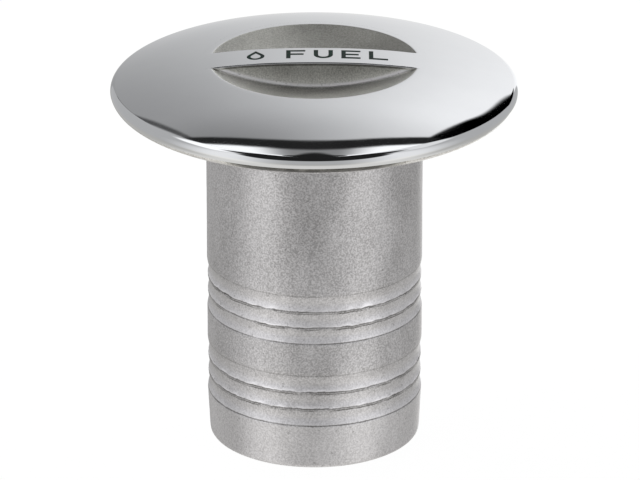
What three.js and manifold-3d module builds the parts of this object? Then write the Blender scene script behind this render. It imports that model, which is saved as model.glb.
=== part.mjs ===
// Deck fill cap for a boat: a stainless flange with a hose neck, closed by a domed quarter-turn
// bayonet cap that hides the flange and its screw holes. A short link chain with a toggle bar
// hangs from a swivel under the cap, inside the neck, and keeps the cap from being lost.
// Millimetres, +Z up. The origin is the centre of the neck's lower end, where the part stands.
import * as THREE from "three";
import { mergeVertices } from "three/addons/utils/BufferGeometryUtils.js";
import Module from "manifold-3d";

const wasm = await Module();
wasm.setup();

// ---------------------------------------------------------------- driving dimensions
const HOSE_DIAMETER = 50; // the fill hose that the neck takes
const CAP_DIAMETER = 93.9;
const DECK_Z = 80.4; // flange underside, which lies on the deck
const CROWN_Z = 93.1; // top of the dome

const GAP = 0.3; // between pieces that touch on the real object
const ROUND = 48; // sides of a large turned surface
const ROUND_SMALL = 20; // sides of screws, bosses and bushes

// neck and flange
const NECK_R = HOSE_DIAMETER / 2;
const BORE_R = NECK_R - 3.5;
const NECK_END_R = NECK_R - 0.5; // the neck tapers a little to its lower end
const NECK_END_CHAMFER = 0.9;
const BARB_GROUPS = [
  { footZ: 10.9, step: 4.2 }, // step: from one barb's edge to the next
  { footZ: 31.5, step: 3.95 },
];
const BARBS_PER_GROUP = 2;
const BARB_RISE = 1.6; // height of the steep flank above a barb's edge
const BARB_DEPTH = 0.5;
const BARB_EDGE_DEPTH = 0.1; // how far a barb's edge stays inside the neck's radius
const FLANGE_R = 41.5;
const FLANGE_THICKNESS = 3;
const FLANGE_TOP_Z = DECK_Z + FLANGE_THICKNESS;
const FLANGE_EDGE = 0.4;
const NECK_FILLET = 1.4;
const SCREW_CIRCLE_R = 33;
const SCREW_HOLE_R = 2.6;
const COUNTERSINK_R = 5;
const DECK_SCREWS = 4;

// mouth of the neck, with its bayonet ledges
const SEAL_BORE_R = BORE_R + 1.1;
const SEAT_Z = 76;
const LEDGE_R = 18.3;
const LEDGE_THICKNESS = 3.1;
const LEDGE_LEAD_IN = 0.7; // the ledge is thinner by this where a lug enters
const LEDGE_LEAD_IN_DEG = 22;
const SLOT_HALF_DEG = 32; // half of the gap that a lug drops through
const STOP_R = LEDGE_R + 0.4;
const STOP_DEPTH = 3.4;
const STOP_DEG = 8;
const BITE = 0.6; // how far a joined piece reaches into its neighbour

// bayonet plug
const LOCK_DEG = 90; // turn from unlocked to locked
const LUG_HALF_DEG = 26;
const LUG_R = BORE_R - 0.4;
const LUG_HEIGHT = 3.7;
const LUG_TOP_Z = SEAT_Z - LEDGE_THICKNESS - GAP;
const STOP_CLEAR_DEG = 1;
const PLUG_TOP_Z = CROWN_Z - 8.4;
const PLUG_HEAD_R = SEAL_BORE_R - 0.3;
const PLUG_HEAD_Z = 77.6;
const SPIGOT_R = LEDGE_R - 0.4;
const SPIGOT_END_Z = 66;
const SPIGOT_BORE_R = 14.6;
const PLUG_WEB_Z = 81.2;
const BOSS_R = 5.6;
const BOSS_END_Z = 75.5;
const BOSS_BORE_R = 3.9;
const BOSS_BORE_TOP_Z = 80.7;

// seals
const O_RING_WIRE_R = 1.15;
const O_RING_R = PLUG_HEAD_R - 1.05;
const O_RING_Z = 80.9;
const GROOVE_HALF = O_RING_WIRE_R + 0.2;
const GROOVE_R = O_RING_R - O_RING_WIRE_R - 0.2;
const GASKET_CLEAR = 0.15;
const GASKET_THICKNESS = 1.3;

// dome of the cap
const CAP_R = CAP_DIAMETER / 2;
const DOME_EDGE_R = CAP_R - 0.15;
const DOME_DROP = 7;
const DOME_POWER = 2.45;
const EQUATOR_Z = 85;
const RIM_UNDER_R = 8.4; // half width of the ellipse that rounds the rim's underside
const RIM_UNDER_HEIGHT = 4.25;
const RIM_UNDER_DEG = 62; // how far round its quarter the rim follows the ellipse
const LIP_Z = 81.15;
const LIP_BORE_R = FLANGE_R + 0.5;
const CEILING_Z = 86.6;
const CEILING_R = 40;
const HUB_R = 26.5;
const COVER_UNDER_Z = PLUG_TOP_Z + GAP;

// grip: a round bowl sunk in the dome, crossed by a straight bar
const BOWL_R = 24;
const BOWL_DEPTH = 5.1;
const BAR_HALF_WIDTH = 4.8;

// screws that hold the dome to the plug
const CAP_SCREW_X = 9.4;
const CAP_SCREW_R = 1.9;
const CAP_SCREW_TOP_Z = 90;
const CAP_SCREW_HEAD_R = 3.5;
const CAP_SCREW_HEAD_HEIGHT = 2.2;
const CAP_SCREW_SOCKET_R = 1.45;
const SCREW_CLEAR = 0.3;
const WASHER_THICKNESS = 0.9;
const WASHER_R = 3.5;
const WASHER_CLEAR = 0.15;

// swivel
const BUSH_THREAD_R = BOSS_BORE_R - GAP;
const BUSH_TOP_Z = 78.2;
const BUSH_FLANGE_R = 5.2;
const BUSH_FLANGE_Z = BOSS_END_Z - GAP;
const BUSH_FLANGE_THICKNESS = 1;
const BUSH_BORE_R = 1.75;
const SWIVEL_SHANK_R = 1.4;
const SWIVEL_HEAD_R = 2.9;
const SWIVEL_HEAD_Z = BUSH_TOP_Z + GAP;
const SWIVEL_HEAD_HEIGHT = 1.7;
const EYE_R = 2.5;
const EYE_WIRE_R = 0.85;
const EYE_Z = 69.6;

// chain and toggle bar
const LINKS = 9;
const LINK_WIRE_R = 0.65;
const LINK_LENGTH = 6.7; // between the wire's centres at the two ends
const LINK_WIDTH = 3.4; // between the wire's centres at the two sides
const LINK_SLACK = 0.25;
const LINK_PITCH = LINK_LENGTH - 2 * LINK_WIRE_R - LINK_SLACK;
const FIRST_LINK_TOP_Z = EYE_Z - EYE_R + EYE_WIRE_R + LINK_WIRE_R + LINK_SLACK;
const WIRE_SIDES = 6;
const LINK_STEPS = 16;
const TOGGLE_RING_R = 2.2;
const TOGGLE_RING_WIRE_R = 0.8;
const TOGGLE_BAR_R = 1.6;
const TOGGLE_HALF_LENGTH = 20;
const TOGGLE_SINK = 0.3; // how far the ring's wire is let into the bar

// ---------------------------------------------------------------- materials
const polishedSteel = new THREE.MeshStandardMaterial({ color: 0xd2d4d6, metalness: 1, roughness: 0.08 });
const blastedSteel = new THREE.MeshStandardMaterial({ color: 0xb4b3b0, metalness: 1, roughness: 0.55 });
const turnedSteel = new THREE.MeshStandardMaterial({ color: 0xc0c1c2, metalness: 1, roughness: 0.3 });
const nitrileRubber = new THREE.MeshStandardMaterial({ color: 0x18181a, metalness: 0, roughness: 0.7 });

// ---------------------------------------------------------------- helpers
const degrees = THREE.MathUtils.degToRad;

// A closed geometry as a manifold-3d solid.
function solid(geometry) {
  const bare = new THREE.BufferGeometry();
  const source = geometry.index ? geometry.toNonIndexed() : geometry;
  bare.setAttribute("position", source.getAttribute("position"));
  const merged = mergeVertices(bare, 1e-4);
  const mesh = new wasm.Mesh({
    numProp: 3,
    vertProperties: merged.attributes.position.array,
    triVerts: new Uint32Array(merged.index.array),
  });
  return new wasm.Manifold(mesh);
}

// A manifold-3d solid as a three.js geometry.
function geometryOf(manifold) {
  const mesh = manifold.getMesh();
  const geometry = new THREE.BufferGeometry();
  geometry.setAttribute("position", new THREE.BufferAttribute(mesh.vertProperties, mesh.numProp));
  geometry.setIndex(new THREE.BufferAttribute(mesh.triVerts, 1));
  geometry.computeVertexNormals();
  return geometry;
}

// A profile of [radius, height] points, turned about the Z axis.
function turned(profile, sides = ROUND) {
  const points = profile.map(([radius, height]) => new THREE.Vector2(radius, height));
  return new THREE.LatheGeometry(points, sides).rotateX(Math.PI / 2);
}

function cylinder(radius, low, high, x = 0, y = 0, sides = ROUND_SMALL) {
  return new THREE.CylinderGeometry(radius, radius, high - low, sides)
    .rotateX(Math.PI / 2)
    .translate(x, y, (low + high) / 2);
}

// Part of a flat ring, between two radii, two heights and two angles in degrees.
function ringSector(inner, outer, low, high, fromDeg, toDeg) {
  const shape = new THREE.Shape();
  shape.absarc(0, 0, outer, degrees(fromDeg), degrees(toDeg), false);
  shape.absarc(0, 0, inner, degrees(toDeg), degrees(fromDeg), true);
  const options = { depth: high - low, bevelEnabled: false, curveSegments: 14 };
  return new THREE.ExtrudeGeometry(shape, options).translate(0, 0, low);
}

// Height of the dome's outer surface at a radius.
function domeHeight(radius) {
  return CROWN_Z - DOME_DROP * (radius / DOME_EDGE_R) ** DOME_POWER;
}

// ---------------------------------------------------------------- neck and flange
// The barbs of one group, from its foot upwards, as [radius, height] points.
function barbGroup({ footZ, step }) {
  const edgeR = NECK_R - BARB_EDGE_DEPTH;
  const grooveR = NECK_R - BARB_DEPTH;
  const points = [[NECK_R, footZ]];
  for (let i = 0; i <= BARBS_PER_GROUP; i++) {
    const z = footZ + i * step;
    points.push([grooveR, z + BARB_RISE]);
    if (i < BARBS_PER_GROUP) points.push([edgeR, z + step]);
  }
  points.push([NECK_R, footZ + (BARBS_PER_GROUP + 1) * step]);
  return points;
}

function neckFlange() {
  const outside = [
    [NECK_END_R - NECK_END_CHAMFER, 0],
    [NECK_END_R, NECK_END_CHAMFER],
    ...BARB_GROUPS.flatMap(barbGroup),
    [NECK_R, DECK_Z - NECK_FILLET],
    [NECK_R + NECK_FILLET * 0.3, DECK_Z - NECK_FILLET * 0.3],
    [NECK_R + NECK_FILLET, DECK_Z],
    [FLANGE_R - FLANGE_EDGE, DECK_Z],
    [FLANGE_R, DECK_Z + FLANGE_EDGE],
    [FLANGE_R, FLANGE_TOP_Z - FLANGE_EDGE],
    [FLANGE_R - FLANGE_EDGE, FLANGE_TOP_Z],
  ];
  const inside = [
    [SEAL_BORE_R + FLANGE_EDGE, FLANGE_TOP_Z],
    [SEAL_BORE_R, FLANGE_TOP_Z - FLANGE_EDGE],
    [SEAL_BORE_R, SEAT_Z],
    [BORE_R, SEAT_Z],
    [BORE_R, NECK_END_CHAMFER],
    [BORE_R + NECK_END_CHAMFER, 0],
  ];
  let body = solid(turned([...outside, ...inside, outside[0]]));

  const ledgeLow = SEAT_Z - LEDGE_THICKNESS;
  for (const side of [0, 180]) {
    // a lug turns clockwise from its slot, so it meets the ledge's high end first
    const ledgeFrom = side + SLOT_HALF_DEG - 180;
    const ledgeTo = side - SLOT_HALF_DEG;
    const leadInFrom = ledgeTo - LEDGE_LEAD_IN_DEG;
    const wallR = BORE_R + BITE;
    const full = ringSector(LEDGE_R, wallR, ledgeLow, SEAT_Z, ledgeFrom, leadInFrom);
    const leadIn = ringSector(LEDGE_R, wallR, ledgeLow + LEDGE_LEAD_IN, SEAT_Z, leadInFrom - 1, ledgeTo);
    body = body.add(solid(full)).add(solid(leadIn));
    // one stop past the locked lug, and one beside the unlocked lug
    const clear = LUG_HALF_DEG + STOP_CLEAR_DEG;
    for (const stopFrom of [side - LOCK_DEG - clear - STOP_DEG, side + clear]) {
      const low = ledgeLow - STOP_DEPTH;
      const stop = ringSector(STOP_R, wallR, low, ledgeLow + BITE, stopFrom, stopFrom + STOP_DEG);
      body = body.add(solid(stop));
    }
  }

  for (let i = 0; i < DECK_SCREWS; i++) {
    const angle = degrees(45 + (i * 360) / DECK_SCREWS);
    const x = SCREW_CIRCLE_R * Math.cos(angle);
    const y = SCREW_CIRCLE_R * Math.sin(angle);
    const sinkDepth = COUNTERSINK_R - SCREW_HOLE_R;
    const sink = new THREE.CylinderGeometry(COUNTERSINK_R + BITE, SCREW_HOLE_R, sinkDepth + BITE, ROUND_SMALL)
      .rotateX(Math.PI / 2)
      .translate(x, y, FLANGE_TOP_Z - (sinkDepth - BITE) / 2);
    body = body.subtract(solid(cylinder(SCREW_HOLE_R, DECK_Z - 1, FLANGE_TOP_Z + 1, x, y)));
    body = body.subtract(solid(sink));
  }
  return geometryOf(body);
}

// ---------------------------------------------------------------- cap
function capCover() {
  // the dome's outside, with a ring of vertices on the edge of the bowl
  const radii = [0];
  const stepsToBowl = 3;
  const stepsToEdge = 6;
  for (let i = 1; i <= stepsToBowl; i++) radii.push((BOWL_R * i) / stepsToBowl);
  for (let i = 1; i <= stepsToEdge; i++) radii.push(BOWL_R + ((DOME_EDGE_R - BOWL_R) * i) / stepsToEdge);
  const crown = radii.map((radius) => [radius, domeHeight(radius)]);
  const rim = [];
  const rimSteps = 5;
  for (let i = 1; i <= rimSteps; i++) {
    const turn = degrees((RIM_UNDER_DEG * i) / rimSteps);
    const radius = CAP_R - RIM_UNDER_R * (1 - Math.cos(turn));
    rim.push([radius, EQUATOR_Z - RIM_UNDER_HEIGHT * Math.sin(turn)]);
  }
  const underside = [
    [LIP_BORE_R, LIP_Z],
    [LIP_BORE_R, CEILING_Z - 2],
    [CEILING_R, CEILING_Z],
    [HUB_R + 1, CEILING_Z],
    [HUB_R, COVER_UNDER_Z],
    [0, COVER_UNDER_Z],
  ];
  let cover = solid(turned([...crown, [CAP_R, EQUATOR_Z], ...rim, ...underside].reverse()));

  const bowl = [];
  const bowlSteps = 6;
  for (let i = 0; i <= bowlSteps; i++) {
    const share = i / bowlSteps;
    bowl.push([BOWL_R * share, domeHeight(BOWL_R) - BOWL_DEPTH * (1 - share ** 2)]);
  }
  bowl.push([BOWL_R, CROWN_Z + 2], [0, CROWN_Z + 2]);
  const bar = new THREE.BoxGeometry(3 * BOWL_R, 2 * BAR_HALF_WIDTH, 4 * BOWL_DEPTH).translate(0, 0, CROWN_Z);
  cover = cover.subtract(solid(turned(bowl)).subtract(solid(bar)));

  for (const x of [-CAP_SCREW_X, CAP_SCREW_X]) {
    const hole = cylinder(CAP_SCREW_R + SCREW_CLEAR, COVER_UNDER_Z - 1, CAP_SCREW_TOP_Z + 0.6, x);
    cover = cover.subtract(solid(hole));
  }
  return geometryOf(cover);
}

function bayonetPlug() {
  const profile = [
    [0, PLUG_TOP_Z],
    [PLUG_HEAD_R - 0.4, PLUG_TOP_Z],
    [PLUG_HEAD_R, PLUG_TOP_Z - 0.4],
    [PLUG_HEAD_R, O_RING_Z + GROOVE_HALF],
    [GROOVE_R, O_RING_Z + GROOVE_HALF],
    [GROOVE_R, O_RING_Z - GROOVE_HALF],
    [PLUG_HEAD_R, O_RING_Z - GROOVE_HALF],
    [PLUG_HEAD_R, PLUG_HEAD_Z],
    [SPIGOT_R, PLUG_HEAD_Z],
    [SPIGOT_R, SPIGOT_END_Z + 0.8],
    [SPIGOT_R - 0.8, SPIGOT_END_Z],
    [SPIGOT_BORE_R, SPIGOT_END_Z],
    [SPIGOT_BORE_R, PLUG_WEB_Z - 1.5],
    [SPIGOT_BORE_R - 1.5, PLUG_WEB_Z],
    [BOSS_R, PLUG_WEB_Z],
    [BOSS_R, BOSS_END_Z],
    [BOSS_BORE_R, BOSS_END_Z],
    [BOSS_BORE_R, BOSS_BORE_TOP_Z],
    [0, BOSS_BORE_TOP_Z],
  ];
  let plug = solid(turned(profile.reverse()));
  for (const side of [0, 180]) {
    const lug = ringSector(
      SPIGOT_R - BITE, LUG_R, LUG_TOP_Z - LUG_HEIGHT, LUG_TOP_Z, side - LUG_HALF_DEG, side + LUG_HALF_DEG,
    );
    plug = plug.add(solid(lug));
  }
  for (const x of [-CAP_SCREW_X, CAP_SCREW_X]) {
    plug = plug.subtract(solid(cylinder(CAP_SCREW_R + SCREW_CLEAR, PLUG_WEB_Z - 1, PLUG_TOP_Z + 1, x)));
  }
  return geometryOf(plug);
}

function oRing() {
  const profile = [];
  const wireSides = 8;
  for (let i = 0; i <= wireSides; i++) {
    const turn = (-2 * Math.PI * i) / wireSides;
    profile.push([O_RING_R + O_RING_WIRE_R * Math.cos(turn), O_RING_Z + O_RING_WIRE_R * Math.sin(turn)]);
  }
  return turned(profile.reverse());
}

function seatGasket() {
  const inner = SPIGOT_R + GAP;
  const outer = PLUG_HEAD_R - 0.1;
  const low = SEAT_Z + GASKET_CLEAR;
  const high = low + GASKET_THICKNESS;
  return turned([[inner, low], [outer, low], [outer, high], [inner, high], [inner, low]]);
}

function capScrew() {
  const headTop = PLUG_WEB_Z - WASHER_THICKNESS - 2 * WASHER_CLEAR;
  const headLow = headTop - CAP_SCREW_HEAD_HEIGHT;
  const body = solid(
    turned(
      [
        [0, CAP_SCREW_TOP_Z],
        [CAP_SCREW_R - 0.5, CAP_SCREW_TOP_Z],
        [CAP_SCREW_R, CAP_SCREW_TOP_Z - 0.7],
        [CAP_SCREW_R, headTop],
        [CAP_SCREW_HEAD_R, headTop],
        [CAP_SCREW_HEAD_R, headLow + 0.8],
        [CAP_SCREW_HEAD_R - 0.9, headLow],
        [0, headLow],
      ].reverse(),
      ROUND_SMALL,
    ),
  );
  const socket = cylinder(CAP_SCREW_SOCKET_R, headLow - 1, headLow + 1.5, 0, 0, 6);
  return geometryOf(body.subtract(solid(socket)));
}

// A spring washer: a ring with one slanting split.
function springWasher() {
  const high = PLUG_WEB_Z - WASHER_CLEAR;
  const low = high - WASHER_THICKNESS;
  const inner = CAP_SCREW_R + SCREW_CLEAR;
  const profile = [[inner, low], [WASHER_R, low], [WASHER_R, high], [inner, high], [inner, low]];
  const split = new THREE.BoxGeometry(2 * WASHER_R, 0.5, 4).rotateX(degrees(25));
  split.translate(WASHER_R, 0, (low + high) / 2);
  return geometryOf(solid(turned(profile, ROUND_SMALL)).subtract(solid(split)));
}

// ---------------------------------------------------------------- swivel
function swivelBush() {
  const flangeLow = BUSH_FLANGE_Z - BUSH_FLANGE_THICKNESS;
  const hexFlange = cylinder(BUSH_FLANGE_R, flangeLow, BUSH_FLANGE_Z, 0, 0, 6);
  const thread = cylinder(BUSH_THREAD_R, flangeLow + BITE, BUSH_TOP_Z);
  const hole = cylinder(BUSH_BORE_R, flangeLow - 1, BUSH_TOP_Z + 1);
  return geometryOf(solid(hexFlange).add(solid(thread)).subtract(solid(hole)));
}

function ring(radius, wireRadius) {
  return new THREE.TorusGeometry(radius, wireRadius, WIRE_SIDES, LINK_STEPS);
}

function swivelEye() {
  const head = cylinder(SWIVEL_HEAD_R, SWIVEL_HEAD_Z, SWIVEL_HEAD_Z + SWIVEL_HEAD_HEIGHT);
  const shank = cylinder(SWIVEL_SHANK_R, EYE_Z + EYE_R, SWIVEL_HEAD_Z + BITE);
  const eye = ring(EYE_R, EYE_WIRE_R).rotateY(Math.PI / 2).translate(0, 0, EYE_Z);
  return geometryOf(solid(head).add(solid(shank)).add(solid(eye)));
}

// ---------------------------------------------------------------- chain and toggle bar
// One link in the XZ plane, with its centre at the origin: a ring of wire, pulled apart into a loop
// with straight sides.
function chainLink() {
  const link = ring(LINK_WIDTH / 2, LINK_WIRE_R).rotateZ(Math.PI / LINK_STEPS).rotateX(Math.PI / 2);
  const straight = (LINK_LENGTH - LINK_WIDTH) / 2;
  const position = link.getAttribute("position");
  for (let i = 0; i < position.count; i++) {
    const z = position.getZ(i);
    position.setZ(i, z + Math.sign(z) * straight);
  }
  link.computeVertexNormals();
  return link;
}

const linkTopZ = (number) => FIRST_LINK_TOP_Z - (number - 1) * LINK_PITCH;
const LAST_LINK_END_Z = linkTopZ(LINKS) - LINK_LENGTH;
const TOGGLE_RING_Z = LAST_LINK_END_Z + LINK_WIRE_R + TOGGLE_RING_WIRE_R + LINK_SLACK - TOGGLE_RING_R;
const TOGGLE_BAR_Z = TOGGLE_RING_Z - TOGGLE_RING_R - TOGGLE_BAR_R + TOGGLE_SINK;

function toggleBar() {
  const capsuleLength = 2 * (TOGGLE_HALF_LENGTH - TOGGLE_BAR_R);
  const bar = new THREE.CapsuleGeometry(TOGGLE_BAR_R, capsuleLength, 4, 12).translate(0, 0, TOGGLE_BAR_Z);
  const eye = ring(TOGGLE_RING_R, TOGGLE_RING_WIRE_R).rotateY(Math.PI / 2).translate(0, 0, TOGGLE_RING_Z);
  return geometryOf(solid(bar).add(solid(eye)));
}

// ---------------------------------------------------------------- assembly
const deckFill = new THREE.Group();

function place(name, geometry, material, x = 0, y = 0, z = 0) {
  const mesh = new THREE.Mesh(geometry, material);
  mesh.name = name;
  mesh.position.set(x, y, z);
  deckFill.add(mesh);
  return mesh;
}

place("neck_flange", neckFlange(), blastedSteel);
place("cap_cover", capCover(), polishedSteel);
place("bayonet_plug", bayonetPlug(), turnedSteel);
place("cap_o_ring", oRing(), nitrileRubber);
place("seat_gasket", seatGasket(), nitrileRubber);
for (const [side, x] of [["left", -CAP_SCREW_X], ["right", CAP_SCREW_X]]) {
  place("cap_screw_" + side, capScrew(), turnedSteel, x);
  place("spring_washer_" + side, springWasher(), turnedSteel, x);
}
place("swivel_bush", swivelBush(), turnedSteel);
place("swivel_eye", swivelEye(), turnedSteel);
for (let number = 1; number <= LINKS; number++) {
  const middleZ = linkTopZ(number) - LINK_LENGTH / 2;
  const link = place("chain_link_" + number, chainLink(), turnedSteel, 0, 0, middleZ);
  link.rotation.z = number % 2 ? 0 : Math.PI / 2; // each link stands across the one above it
}
place("toggle_bar", toggleBar(), turnedSteel);

export default deckFill;
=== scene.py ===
"""Looks of the deck fill cap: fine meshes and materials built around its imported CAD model.

Shapes are worked out in millimetres, in the frame of the CAD part, and turned into metres where a
mesh is made. The cap's grip bar runs along X, the neck stands on Z = 0, and +Y is the far side.
"""
import math

import bmesh
import bpy
import numpy as np
from mathutils import Matrix, Vector, noise
from mathutils.geometry import delaunay_2d_cdt


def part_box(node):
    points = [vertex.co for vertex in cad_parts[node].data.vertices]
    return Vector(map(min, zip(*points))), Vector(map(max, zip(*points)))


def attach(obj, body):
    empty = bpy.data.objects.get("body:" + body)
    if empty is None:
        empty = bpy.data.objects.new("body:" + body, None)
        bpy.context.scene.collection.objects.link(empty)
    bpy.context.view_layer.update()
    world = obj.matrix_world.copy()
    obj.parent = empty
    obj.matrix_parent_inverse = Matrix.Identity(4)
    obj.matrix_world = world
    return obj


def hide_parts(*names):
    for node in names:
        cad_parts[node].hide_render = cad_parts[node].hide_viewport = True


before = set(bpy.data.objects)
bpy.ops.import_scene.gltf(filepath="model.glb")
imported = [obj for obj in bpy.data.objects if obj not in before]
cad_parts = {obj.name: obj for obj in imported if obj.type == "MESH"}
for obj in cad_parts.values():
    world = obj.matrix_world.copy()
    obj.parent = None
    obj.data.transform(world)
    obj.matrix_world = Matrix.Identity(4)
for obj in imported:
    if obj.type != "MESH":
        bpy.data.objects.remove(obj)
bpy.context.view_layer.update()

MM = 0.001


# ---------------------------------------------------------------- camera
VIEW_ELEVATION = math.radians(22.67)
VIEW_DISTANCE = 1.3852
VIEW_TARGET = Vector((0.00127, 0, 0.04711))
LENS = 335.4
SENSOR = 36


def make_camera():
    data = bpy.data.cameras.new("camera")
    data.sensor_width = SENSOR
    data.lens = LENS
    data.clip_start = 0.05
    data.clip_end = 20
    camera = bpy.data.objects.new("camera", data)
    bpy.context.scene.collection.objects.link(camera)
    back = Vector((0, -math.cos(VIEW_ELEVATION), math.sin(VIEW_ELEVATION)))
    camera.location = VIEW_TARGET + back * VIEW_DISTANCE
    camera.rotation_euler = (-back).to_track_quat("-Z", "Y").to_euler()
    bpy.context.scene.camera = camera


make_camera()


# ---------------------------------------------------------------- sizes from the frame
def low_high(node):
    """Lowest and highest corner of a CAD node in millimetres."""
    return [np.round(np.array(corner) / MM, 3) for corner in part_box(node)]


cover_low, cover_high = low_high("cap_cover")
neck_high = low_high("neck_flange")[1]
plug_low, plug_high = low_high("bayonet_plug")
ring_low, ring_high = low_high("cap_o_ring")
gasket_low, gasket_high = low_high("seat_gasket")
screw_low, screw_high = low_high("cap_screw_right")
washer_low, washer_high = low_high("spring_washer_right")
bush_low, bush_high = low_high("swivel_bush")
eye_low, eye_high = low_high("swivel_eye")
toggle_low, toggle_high = low_high("toggle_bar")

CAP_R = cover_high[0]
CROWN_Z = cover_high[2]
LIP_Z = cover_low[2]
FLANGE_R = neck_high[0]
FLANGE_TOP_Z = neck_high[2]
FLANGE_THICKNESS = 3
DECK_Z = FLANGE_TOP_Z - FLANGE_THICKNESS

# dome and grip
DOME_EDGE_R = CAP_R - 0.15
DOME_DROP = 7
DOME_POWER = 2.45
EQUATOR_Z = CROWN_Z - 8.1
RIM_UNDER_R = 8.4
RIM_UNDER_HEIGHT = 4.25
RIM_UNDER_DEG = 62
RIM_ROUND = 1.3
LIP_BORE_R = FLANGE_R + 0.5
CEILING_Z = CROWN_Z - 6.5
CEILING_R = 40
HUB_R = 26.5
COVER_UNDER_Z = plug_high[2] + 0.3
BOWL_R = 24
BOWL_DEPTH = 5.1
BOWL_FLOOR_Z = CROWN_Z - DOME_DROP * (BOWL_R / DOME_EDGE_R) ** DOME_POWER - BOWL_DEPTH
BOWL_EDGE_SOFTNESS = 0.12
BAR_HALF_WIDTH = 4.8
BAR_EDGE_ROUND = 0.28
BAR_FOOT_ROUND = 0.7
BAR_DRAFT = 0.12
CROWN_MESH_R = 26
CROWN_SIDES = 360

# grip label
LABEL_DEPTH = 0.3
LABEL_FILL = 0.05
LABEL_Y = 0.6
LABEL_HEIGHT = 5.3
LABEL_STROKE = 1.02
LETTER_WIDTH = 4.4
LETTER_PITCH = 6.33
WORD_START_X = -6.5
DROP_X = -13.5
DROP_Y = LABEL_Y - 0.75
DROP_R, DROP_TIP = 2.05, 3.5
HOLLOW_R, HOLLOW_TIP = 1.15, 1.95

# neck
NECK_R = 25
BORE_R = 21.5
NECK_END_R = 24.5
NECK_END_ROUND = 0.9
BARB_GROUPS = ((10.9, 4.2), (31.5, 3.95))  # height of the foot, and from one barb's edge to the next
BARB_RISE = 1.6
BARB_DEPTH = 0.5
BARB_EDGE_DEPTH = 0.1
NECK_FILLET = 1.4
NECK_SIDES = 400
# barb edges: grooves with painted shade, painted glints and a painted highlight fading up the band above
# each edge, a painted highlight on the foot, and a second line of painted shade and dark grit below
LINE_WIDTH, LINE_DEPTH = 0.15, 0.11
GLINT_ABOVE, GLINT_WIDTH = 0.36, 0.13
HIGHLIGHT_BAND, BAND_HIGHLIGHT, FOOT_HIGHLIGHT = 4.5, 0.42, 0.25
SECOND_LINE_BELOW, SECOND_LINE_WIDTH = 0.45, 0.13
GRIT_BELOW, GRIT_WIDTH = 0.2, 0.22
SEAL_BORE_R = 22.6
SEAT_Z = 76
LEDGE_R = 18.3
LEDGE_LOW_Z = 72.9
LEDGE_LEAD_IN = 0.7
LEDGE_LEAD_IN_DEG = 22
SLOT_HALF_DEG = 32
STOP_R = 18.7
STOP_LOW_Z = 69.5
STOP_STARTS_DEG = (-125, 27)
STOP_DEG = 8
DECK_HOLE_CIRCLE_R = 33
DECK_HOLE_R = 2.6
COUNTERSINK_R = 5

# bayonet plug
PLUG_TOP_Z = plug_high[2]
PLUG_HEAD_R = SEAL_BORE_R - 0.3
PLUG_HEAD_Z = 77.6
SPIGOT_R = 17.9
SPIGOT_END_Z = plug_low[2]
SPIGOT_BORE_R = 14.6
LUG_R = 21.1
LUG_LOW_Z = 68.9
LUG_TOP_Z = 72.6
LUG_HALF_DEG = 26
PLUG_WEB_Z = 81.2
BOSS_R = 5.6
BOSS_END_Z = 75.5
BOSS_BORE_R = 3.9
BOSS_BORE_TOP_Z = 80.7
GROOVE_R = 19.9
GROOVE_HALF = 1.35

# cap screws, washers and swivel
CAP_SCREW_X = (screw_low[0] + screw_high[0]) / 2
CAP_SCREW_R = 1.9
CAP_SCREW_HOLE_R = 2.2
SCREW_HOLE_TOP_Z = screw_high[2] + 0.6
SOCKET_R = 1.45
SOCKET_DEPTH = 1.5
SWIVEL_SHANK_R = 1.4
EYE_R = 2.5
EYE_WIRE_R = 0.85
EYE_Z = eye_low[2] + EYE_R + EYE_WIRE_R
BUSH_BORE_R = 1.75
BUSH_FLANGE_TOP_Z = bush_low[2] + 1

# chain and toggle bar
LINKS = 9
LINK_WIRE_R = 0.65
LINK_LENGTH = 6.7
LINK_WIDTH = 3.4
TOGGLE_BAR_R = 1.6
TOGGLE_RING_R = 2.2
TOGGLE_RING_WIRE_R = 0.8


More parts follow.
